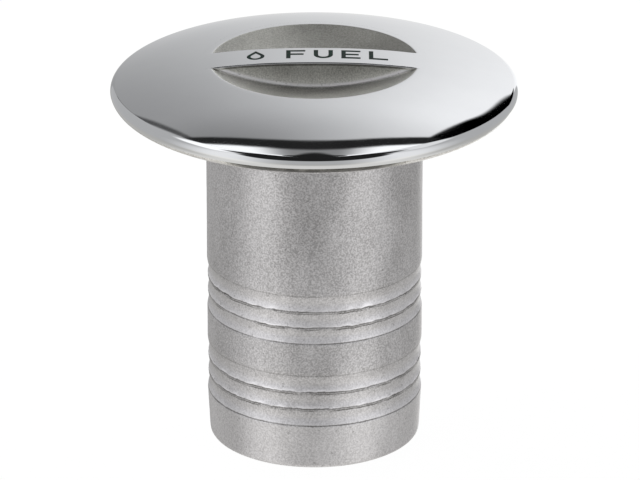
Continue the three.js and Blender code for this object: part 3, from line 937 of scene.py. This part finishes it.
def mouth_profile(angle_deg):
    """Seal bore, seat, ledge, stop and bore, along one line from the flange's top down."""
    ledge_width = 180 - 2 * SLOT_HALF_DEG
    ledges = [(side + SLOT_HALF_DEG, ledge_width) for side in (0, 180)]
    lead_ins = [(side - SLOT_HALF_DEG - LEDGE_LEAD_IN_DEG, LEDGE_LEAD_IN_DEG) for side in (0, 180)]
    stops = [(side + start, STOP_DEG) for side in (0, 180) for start in STOP_STARTS_DEG]
    ledge_r = LEDGE_R if in_sectors(angle_deg, ledges) else BORE_R
    low = LEDGE_LOW_Z + (LEDGE_LEAD_IN if in_sectors(angle_deg, lead_ins) else 0)
    stop_r = STOP_R if in_sectors(angle_deg, stops) else BORE_R
    return [
        (SEAL_BORE_R, FLANGE_TOP_Z - 0.8), (SEAL_BORE_R, SEAT_Z + 0.1), (SEAL_BORE_R - 0.1, SEAT_Z),
        (ledge_r + 0.35, SEAT_Z), (ledge_r + 0.1, SEAT_Z - 0.1), (ledge_r, SEAT_Z - 0.35),
        (ledge_r, low + 0.35), (ledge_r + 0.1, low + 0.1), (ledge_r + 0.35, low),
        (stop_r + 0.02, low - 0.05), (stop_r, low - 0.3), (stop_r, STOP_LOW_Z + 0.3),
        (stop_r + 0.3, STOP_LOW_Z), (BORE_R, STOP_LOW_Z - 0.05),
    ]


def sector_edges():
    """Angles in degrees just before and after each place where a ledge or a stop begins or ends."""
    edges = []
    for side in (0, 180):
        edges += [side + SLOT_HALF_DEG, side - SLOT_HALF_DEG, side - SLOT_HALF_DEG - LEDGE_LEAD_IN_DEG]
        for start in STOP_STARTS_DEG:
            edges += [side + start, side + start + STOP_DEG]
    return [(edge + nudge) % 360 for edge in edges for nudge in (-0.05, 0.05)]


def spaced(values, least):
    """Sorted values, without those that follow another too closely."""
    values = np.unique(values)
    return values[np.concatenate(([True], np.diff(values) > least))]


def add_flange(soup, angles):
    """The flange's edge, the lead into the seal bore, the deck screws' holes and both faces."""
    edge = 0.4
    rim = [(FLANGE_R - 2, DECK_Z, 0), (FLANGE_R, DECK_Z, edge), (FLANGE_R, FLANGE_TOP_Z, edge),
           (FLANGE_R - 2, FLANGE_TOP_Z, 0)]
    lead = [(SEAL_BORE_R + 2, FLANGE_TOP_Z, 0), (SEAL_BORE_R, FLANGE_TOP_Z, edge),
            (SEAL_BORE_R, FLANGE_TOP_Z - 0.8, 0)]
    soup.add(*turned(rounded(rim)[1:-1], angles, closed=False))
    soup.add(*turned(rounded(lead)[1:], angles, closed=False))
    holes, sinks = [], []
    for turn in np.radians((45, 135, 225, 315)):
        x, y = DECK_HOLE_CIRCLE_R * math.cos(turn), DECK_HOLE_CIRCLE_R * math.sin(turn)
        hole, sink = circle(DECK_HOLE_R, 48, x, y), circle(COUNTERSINK_R, 48, x, y)
        foot_z = FLANGE_TOP_Z - COUNTERSINK_R + DECK_HOLE_R
        soup.add(*tube([at_height(sink, FLANGE_TOP_Z), at_height(hole, foot_z), at_height(hole, DECK_Z)]))
        holes.append(hole)
        sinks.append(sink)
    outline = ring(FLANGE_R - edge, angles)
    soup.add(*plate(outline, [ring(SEAL_BORE_R + edge, angles), *sinks], FLANGE_TOP_Z))
    soup.add(*plate(outline, [ring(NECK_R + NECK_FILLET, angles), *holes], DECK_Z))


def make_neck():
    degrees = np.concatenate((np.arange(NECK_SIDES) * 360 / NECK_SIDES, sector_edges()))
    degrees = spaced(np.round(degrees, 3), 0.04)
    angles = np.radians(degrees)
    rows, radii = neck_rows()
    end = rounded([(BORE_R, 2, 0), (BORE_R, 0, NECK_END_ROUND), (NECK_END_R, 0, NECK_END_ROUND),
                   (NECK_END_R, 3, 0)])[1:-1]
    fillet = rounded([(NECK_R, DECK_Z - 3, 0), (NECK_R, DECK_Z, NECK_FILLET),
                      (NECK_R + 3, DECK_Z, 0)], 6)[1:-1]
    profiles, shade_and_grit_columns = [], []
    for degree, angle in zip(degrees, angles):
        # painted shade, grit and painted highlights along this line up the neck
        change, shade_and_grit = neck_relief(angle, rows)
        outside = np.column_stack((radii + change, rows))
        profiles.append(np.vstack((mouth_profile(degree), [(BORE_R, 40)], end, outside, fillet)))
        shade_and_grit_columns.append(shade_and_grit)
    soup = Soup()
    soup.add(*turned(profiles, angles, closed=False))
    add_flange(soup, angles)
    data = soup.mesh("neck", [neck_steel])
    add_shade_and_grit(data, angles, rows, np.array(shade_and_grit_columns))
    show("neck", data, "deck_body", "blasted_steel", "neck_flange")


def add_shade_and_grit(data, angles, rows, shade_and_grit_columns):
    """Writes the barb lines' painted shade, grit and painted highlights to the points of the neck's outside.
    """
    places = np.array([v.co for v in data.vertices]) / MM
    turn = np.mod(np.arctan2(places[:, 1], places[:, 0]), 2 * math.pi)
    column = np.clip(np.searchsorted(angles, turn - 1e-4), 0, len(angles) - 1)
    row = np.clip(np.searchsorted(rows, places[:, 2] - 1e-3), 0, len(rows) - 1)
    outside = (np.hypot(places[:, 0], places[:, 1]) > NECK_END_R - 0.6) & (places[:, 2] < DECK_Z - 5)
    values = np.where(outside, shade_and_grit_columns[column, row], 0.0)
    data.attributes.new("shade_and_grit", "FLOAT", "POINT").data.foreach_set("value", values.astype(np.float32))


# ---------------------------------------------------------------- plug and seals
def plug_profile(angle_deg):
    """The plug's side from its top edge round to the web inside, along one line."""
    is_lug = in_sectors(angle_deg, [(side - LUG_HALF_DEG, 2 * LUG_HALF_DEG) for side in (0, 180)])
    lug_r, lug_round = (LUG_R, 0.35) if is_lug else (SPIGOT_R + 0.02, 0.004)
    groove = (ring_low[2] + ring_high[2]) / 2
    corners = [
        (PLUG_HEAD_R - 2, PLUG_TOP_Z, 0), (PLUG_HEAD_R, PLUG_TOP_Z, 0.4),
        (PLUG_HEAD_R, groove + GROOVE_HALF, 0.12), (GROOVE_R, groove + GROOVE_HALF, 0.25),
        (GROOVE_R, groove - GROOVE_HALF, 0.25), (PLUG_HEAD_R, groove - GROOVE_HALF, 0.12),
        (PLUG_HEAD_R, PLUG_HEAD_Z, 0.2), (SPIGOT_R, PLUG_HEAD_Z, 0.2),
        (SPIGOT_R, LUG_TOP_Z, 0.006), (lug_r, LUG_TOP_Z - 0.01, lug_round),
        (lug_r, LUG_LOW_Z + 0.01, lug_round), (SPIGOT_R, LUG_LOW_Z, 0.006),
        (SPIGOT_R, SPIGOT_END_Z, 0.8), (SPIGOT_BORE_R, SPIGOT_END_Z, 0.3),
        (SPIGOT_BORE_R, PLUG_WEB_Z, 1.5), (SPIGOT_BORE_R - 2.2, PLUG_WEB_Z, 0),
    ]
    return rounded(corners)[1:]


def make_plug():
    lug_edges = [(side + way * LUG_HALF_DEG + nudge) % 360
                 for side in (0, 180) for way in (-1, 1) for nudge in (-0.05, 0.05)]
    degrees = np.unique(np.round(np.concatenate((np.arange(240) * 1.5, lug_edges)), 3))
    angles = np.radians(degrees)
    soup = Soup()
    soup.add(*turned([plug_profile(d) for d in degrees], angles, closed=False))
    boss = rounded([(BOSS_R + 2, PLUG_WEB_Z, 0), (BOSS_R, PLUG_WEB_Z, 0.5), (BOSS_R, BOSS_END_Z, 0.4),
                    (BOSS_BORE_R, BOSS_END_Z, 0.3), (BOSS_BORE_R, BOSS_BORE_TOP_Z, 0.2),
                    (0, BOSS_BORE_TOP_Z, 0)])[1:]
    soup.add(*turned(boss, angles, closed=False))
    holes = screw_holes()
    soup.add(*plate(ring(PLUG_HEAD_R - 0.4, angles), holes, PLUG_TOP_Z))
    web_inside = ring(BOSS_R + 0.5, angles)
    soup.add(*plate(ring(SPIGOT_BORE_R - 2.2, angles), [web_inside, *holes], PLUG_WEB_Z))
    for hole in holes:
        soup.add(*tube([at_height(hole, PLUG_WEB_Z), at_height(hole, PLUG_TOP_Z)]))
    show("plug", soup.mesh("plug", [turned_steel]), "cap", "turned_steel", "bayonet_plug")


def make_seals():
    wire_r = (ring_high[2] - ring_low[2]) / 2
    middle_r, middle_z = ring_high[0] - wire_r, (ring_high[2] + ring_low[2]) / 2
    turn = even(28)
    flash = 0.04 * bell(np.sin(turn), 0.12)  # the mould's parting line, inside and outside
    section = np.column_stack((middle_r + (wire_r - 0.04 + flash) * np.cos(turn),
                               middle_z + (wire_r - 0.01) * np.sin(turn)))
    show("o_ring", lathe("o_ring", section, 220, nitrile), "cap", "nitrile_rubber", "cap_o_ring")

    inner, outer = SPIGOT_R + 0.3, gasket_high[0]
    corners = [(inner, gasket_low[2], 0.15), (outer, gasket_low[2], 0.15), (outer, gasket_high[2], 0.15),
               (inner, gasket_high[2], 0.15)]
    section = rounded(corners, 4, closed=True)
    show("gasket", lathe("gasket", section, 200, nitrile), "cap", "nitrile_rubber", "seat_gasket")


# ---------------------------------------------------------------- screws, washers and bush
def make_screws():
    low, high = screw_low[2], screw_high[2]
    head_r = (screw_high[0] - screw_low[0]) / 2
    head_top = low + 2.2
    sides = 96
    outside = rounded([(0, high, 0), (CAP_SCREW_R - 0.3, high, 0.15), (CAP_SCREW_R, high - 0.7, 0.2),
                       (CAP_SCREW_R, head_top, 0.15), (head_r, head_top, 0.15), (head_r, low, 0.7),
                       (SOCKET_R + 0.35, low, 0)])
    profiles = []
    for wall in hexagon_radius(even(sides), SOCKET_R):
        hollow = [(wall + 0.12, low + 0.02), (wall, low + 0.16), (wall, low + SOCKET_DEPTH),
                  (0, low + SOCKET_DEPTH + 0.5)]
        profiles.append(np.vstack((outside, hollow)))
    screw = lathe("cap_screw", profiles, sides, wire_steel)
    washer = washer_mesh()
    for side, x in (("left", -CAP_SCREW_X), ("right", CAP_SCREW_X)):
        show("screw_" + side, screw, "cap", "turned_steel", "cap_screw_" + side, location=(x, 0, 0))
        show("washer_" + side, washer, "cap", "turned_steel", "spring_washer_" + side, location=(x, 0, 0))


def washer_mesh():
    """A ring of square wire with one slanting split, sprung a little out of flat."""
    inner, outer = CAP_SCREW_HOLE_R, (washer_high[0] - washer_low[0]) / 2
    low, high = washer_low[2], washer_high[2]
    split = math.radians(5)
    spring = 0.06
    split_lean = 0.47
    sides = 90
    section = rounded([(inner, low + spring, 0.1), (outer, low + spring, 0.1), (outer, high - spring, 0.1),
                       (inner, high - spring, 0.1)], 4, closed=True)
    middle = (low + high) / 2
    points = []
    for share in np.linspace(0, 1, sides):
        for radius, z in section:
            slant = (z - middle) / outer * split_lean
            turn = split + (2 * math.pi - 2 * split) * share + slant
            rise = spring * (2 * share - 1)
            points.append((radius * math.cos(turn), radius * math.sin(turn), z + rise))
    count = len(section)
    faces = quads(sides, count)
    faces += [list(range(count)), [(sides - 1) * count + j for j in range(count)]]
    soup = Soup()
    soup.add(points, faces)
    return soup.mesh("spring_washer", [wire_steel])


def make_bush():
    low, high = bush_low[2], bush_high[2]
    sides = 120
    corner_r = 5.2
    neck_r = 3.6
    flange_top = BUSH_FLANGE_TOP_Z
    profiles = []
    for hexagon in hexagon_radius(even(sides), corner_r):
        flange_r = min(hexagon, corner_r - 0.15)
        inset = max(0.0, flange_r - corner_r * math.cos(math.pi / 6) - 0.1)
        profiles.append([
            (BUSH_BORE_R, high - 0.2), (BUSH_BORE_R, low + 0.25), (BUSH_BORE_R + 0.25, low),
            (flange_r - 0.12 - inset, low), (flange_r, low + 0.08 + 0.4 * inset),
            (flange_r, flange_top - 0.06), (flange_r - 0.06, flange_top), (neck_r, flange_top + 0.01),
            (neck_r, high - 0.4), (neck_r - 0.4, high), (BUSH_BORE_R + 0.2, high),
        ])
    show("bush", lathe("bush", profiles, sides, turned_steel), "cap", "turned_steel", "swivel_bush")


# ---------------------------------------------------------------- swivel, chain and toggle bar
def union(name, first, second):
    """One mesh from two that overlap."""
    objects = [bpy.data.objects.new(name + tag, data) for tag, data in (("_a", first), ("_b", second))]
    for made in objects:
        bpy.context.scene.collection.objects.link(made)
    modifier = objects[0].modifiers.new("union", "BOOLEAN")
    modifier.operation = "UNION"
    modifier.solver = "EXACT"
    modifier.object = objects[1]
    graph = bpy.context.evaluated_depsgraph_get()
    data = bpy.data.meshes.new_from_object(objects[0].evaluated_get(graph))
    for made in objects:
        bpy.data.objects.remove(made)
    data.name = name
    return data


def eye_ring(radius, wire_r, height):
    """A ring of wire in the YZ plane."""
    turn = even(48)
    path = np.column_stack((np.zeros(48), radius * np.cos(turn), height + radius * np.sin(turn)))
    soup = Soup()
    soup.add(*wire_loop(path, (1, 0, 0), wire_r, 20))
    return soup.mesh("ring", [wire_steel])


def make_swivel():
    high = eye_high[2]
    head_low = high - 1.7
    head_r = (eye_high[0] - eye_low[0]) / 2
    eye_top = EYE_Z + EYE_R
    profile = rounded([(0, high, 0), (head_r, high, 0.3), (head_r, head_low, 0.2),
                       (SWIVEL_SHANK_R, head_low, 0.15), (SWIVEL_SHANK_R, eye_top + 0.3, 0.2),
                       (SWIVEL_SHANK_R - 0.6, eye_top - 0.35, 0.2), (0, eye_top - 0.35, 0)])
    data = union("swivel", lathe("shank", profile, 64, wire_steel), eye_ring(EYE_R, EYE_WIRE_R, EYE_Z))
    show("swivel", data, "tether", "turned_steel", "swivel_eye")


def link_mesh():
    """One welded link in the XZ plane about its own centre, with the weld's bead on one side."""
    bend_r = LINK_WIDTH / 2
    straight = (LINK_LENGTH - LINK_WIDTH) / 2
    turn = np.linspace(0, math.pi, 17)
    top = np.column_stack((bend_r * np.cos(turn), np.zeros(17), straight + bend_r * np.sin(turn)))
    sides = np.linspace(straight, -straight, 11)[1:-1]
    left = np.column_stack((np.full(9, -bend_r), np.zeros(9), sides))
    path = np.vstack((top, left, top * (-1, 1, -1), left[::-1] * (-1, 1, 1)))
    near_weld = (path[:, 0] > bend_r - 0.01) * bell(path[:, 2], 0.3)
    soup = Soup()
    soup.add(*wire_loop(path, (0, 1, 0), LINK_WIRE_R, 18, 1 + 0.09 * near_weld))
    return soup.mesh("link", [wire_steel])


def make_chain():
    data = link_mesh()
    for number in range(1, LINKS + 1):
        low, high = low_high(f"chain_link_{number}")
        turn = 0.0 if number % 2 else math.pi / 2
        show(f"link_{number}", data, "chain", "chain_steel", f"chain_link_{number}",
             location=(0, 0, (low[2] + high[2]) / 2), turn=turn)


def make_toggle():
    half = toggle_high[1]
    bar_z = toggle_low[2] + TOGGLE_BAR_R
    ring_z = toggle_high[2] - TOGGLE_RING_R - TOGGLE_RING_WIRE_R
    turn = np.linspace(0, math.pi / 2, 9)
    dome = np.column_stack((TOGGLE_BAR_R * np.sin(turn), half - TOGGLE_BAR_R + TOGGLE_BAR_R * np.cos(turn)))
    line = np.vstack((dome, dome[::-1] * (1, -1)))
    points, faces = turned(line, even(40))
    points = points[:, (0, 2, 1)] + (0, 0, bar_z)
    soup = Soup()
    soup.add(points, faces)
    eye = eye_ring(TOGGLE_RING_R, TOGGLE_RING_WIRE_R, ring_z)
    data = union("toggle", soup.mesh("bar", [wire_steel]), eye)
    show("toggle", data, "toggle", "chain_steel", "toggle_bar")


# ---------------------------------------------------------------- studio
# A light tent, in degrees: azimuth 0 is behind the object, 90 to its right and 180 at the viewer.
# Brightness is as polished steel shows it, with 1 as white.
FULL_LIGHT = 1.54  # radiance that polished steel shows as white
TENT = 0.65
SIDE_BOX = 0.88
BACK_DIM, BACK_BRIGHT = 0.56, 0.93
BACK_HALF_WIDTH = 23
BACK_TOP = 55
BACK_ARCH = 0.016
SEAM_LIGHT = 0.3  # of the dark seam where the back wall meets the left one
FLOOR_LIGHT = 0.8
STRIP_LEFT, STRIP_RIGHT = 1.0, 0.85
STRIP_BOTTOM = 50
CEILING_FAR, CEILING_NEAR = 66, 30
CEILING_LIGHT = 0.14
SIDE_BOX_FROM, SIDE_BOX_TO = 105, 150
HORIZON_SOFT, FLOOR_FROM = -38, -60
STRIP_LEFT_END, STRIP_RIGHT_END = -105, 95
FLAG_FROM, FLAG_TO, FLAG_LOW, FLAG_LEAN = 21, 40, 17, 3.0
SEAM_FROM, SEAM_TO, SEAM_LOW = -23.2, -22, 20
GAP_HEIGHT, GAP_LIGHT = 3.5, 0.15
LAMP_TOP, LAMP_WIDENS = 4.7, 0.055


def make_world():
    """A tent with a box light on each side, an arched back wall, strip lamps over it and one black flag."""
    world = bpy.data.worlds.new("studio")
    world.use_nodes = True
    bpy.context.scene.world = world
    nodes = Nodes(world.node_tree)
    x, y, z = nodes.split(nodes.add("ShaderNodeTexCoord").outputs["Generated"])
    degree = 180 / math.pi
    azimuth = nodes.times(nodes.math("ARCTAN2", x, y), degree)
    height = nodes.times(nodes.math("ARCSINE", z), degree)
    sideways = nodes.math("ABSOLUTE", azimuth)
    squared = nodes.times(azimuth, azimuth)

    def card(left, right, low, high, edge):
        return nodes.times(nodes.span(azimuth, left, right, edge), nodes.span(height, low, high, edge))

    def toward_level(level, share, target):
        """level where share is 0, target where it is 1"""
        return nodes.plus(nodes.times(level, nodes.minus(1.0, share)), nodes.times(share, target))

    level = toward_level(TENT, nodes.span(sideways, SIDE_BOX_FROM, SIDE_BOX_TO, 20), SIDE_BOX)
    behind = nodes.span(azimuth, -BACK_HALF_WIDTH, BACK_HALF_WIDTH, 1.0)
    back_wall = nodes.ramp(azimuth, -BACK_HALF_WIDTH, BACK_HALF_WIDTH, BACK_DIM, BACK_BRIGHT)
    back_wall = nodes.times(back_wall, nodes.ramp(height, 38, BACK_TOP, 1.0, 0.85))
    level = toward_level(level, behind, back_wall)
    level = toward_level(level, nodes.ramp(height, HORIZON_SOFT, FLOOR_FROM), FLOOR_LIGHT)
    left_strip = card(STRIP_LEFT_END, -BACK_HALF_WIDTH, STRIP_BOTTOM, 90, 2.5)
    right_strip = card(BACK_HALF_WIDTH, STRIP_RIGHT_END, STRIP_BOTTOM, 90, 2.5)
    level = toward_level(level, left_strip, STRIP_LEFT)
    level = toward_level(level, right_strip, STRIP_RIGHT)
    leaning = nodes.plus(azimuth, nodes.ramp(height, 20, 36, FLAG_LEAN, 0))
    flag = nodes.times(nodes.span(leaning, FLAG_FROM, FLAG_TO, 0.5),
                       nodes.span(height, FLAG_LOW, STRIP_BOTTOM, 0.8))
    level = toward_level(level, flag, 0.0)
    level = toward_level(level, card(SEAM_FROM, SEAM_TO, SEAM_LOW, STRIP_BOTTOM, 0.4), SEAM_LIGHT)
    ceiling = nodes.ramp(sideways, 100, 160, CEILING_FAR, CEILING_NEAR)
    softness = nodes.ramp(sideways, 20, 120, 2, 5)
    ends = {"Value": nodes.minus(height, ceiling),
            "From Min": nodes.times(softness, -1.0), "From Max": softness}
    dark = nodes.add("ShaderNodeMapRange", ends, interpolation_type="SMOOTHSTEP").outputs[0]
    level = toward_level(level, dark, CEILING_LIGHT)
    # Over the back wall's arch: a dark gap, then a lamp that widens to both sides, then the dark ceiling.
    over_arch = nodes.plus(nodes.minus(height, BACK_TOP), nodes.times(squared, BACK_ARCH))
    over_lamp = nodes.minus(over_arch, nodes.times(squared, LAMP_WIDENS))
    lamp = nodes.ramp(sideways, 5, 16, 0.5, 1.0)
    for edge, target in ((over_arch, GAP_LIGHT), (nodes.minus(over_arch, GAP_HEIGHT), lamp),
                         (nodes.minus(over_lamp, LAMP_TOP), CEILING_LIGHT)):
        share = nodes.times(behind, nodes.ramp(edge, -0.6, 0.6))
        level = toward_level(level, share, target)
    strength = nodes.times(nodes.math("POWER", level, 2.2), FULL_LIGHT)
    warmth = nodes.ramp(height, -8, -30)
    tint = nodes.mix(warmth, (0.985, 0.992, 1.0), (1.0, 0.992, 0.96))
    seen = nodes.add("ShaderNodeLightPath").outputs["Is Camera Ray"]
    scene_light = nodes.add("ShaderNodeBackground", {"Color": tint, "Strength": strength})
    backdrop = nodes.add("ShaderNodeBackground", {"Color": (1, 1, 1, 1), "Strength": 1.0})
    mixed = nodes.add("ShaderNodeMixShader", {0: seen, 1: scene_light.outputs[0], 2: backdrop.outputs[0]})
    output = nodes.add("ShaderNodeOutputWorld")
    world.node_tree.links.new(mixed.outputs[0], output.inputs["Surface"])


def make_floor():
    """A pale round floor, which a view from below looks through."""
    made = bpy.data.materials.new("floor")
    made.use_nodes = True
    nodes = Nodes(made.node_tree)
    matte = nodes.add("ShaderNodeBsdfDiffuse", {"Color": (0.95, 0.95, 0.95, 1)})
    glow = nodes.add("ShaderNodeEmission", {"Color": (1, 1, 1, 1), "Strength": 1.1})
    mixed = nodes.add("ShaderNodeMixShader", {0: 0.85, 1: matte.outputs[0], 2: glow.outputs[0]})
    clear = nodes.add("ShaderNodeBsdfTransparent")
    below = nodes.add("ShaderNodeNewGeometry").outputs["Backfacing"]
    one_sided = nodes.add("ShaderNodeMixShader", {0: below, 1: mixed.outputs[0], 2: clear.outputs[0]})
    output = nodes.add("ShaderNodeOutputMaterial")
    made.node_tree.links.new(one_sided.outputs[0], output.inputs["Surface"])
    data = bpy.data.meshes.new("floor")
    loop = at_height(circle(650, 96), -0.05) * MM
    data.from_pydata(loop.tolist(), [], [list(range(96))])
    data.materials.append(made)
    floor = bpy.data.objects.new("floor", data)
    bpy.context.scene.collection.objects.link(floor)
    floor.visible_glossy = False
    floor.visible_diffuse = False
    floor.visible_shadow = False


# ---------------------------------------------------------------- assembly
make_dome()
make_neck()
make_plug()
make_seals()
make_screws()
make_bush()
make_swivel()
make_chain()
make_toggle()
make_world()
make_floor()
bpy.context.scene.view_settings.view_transform = "Standard"
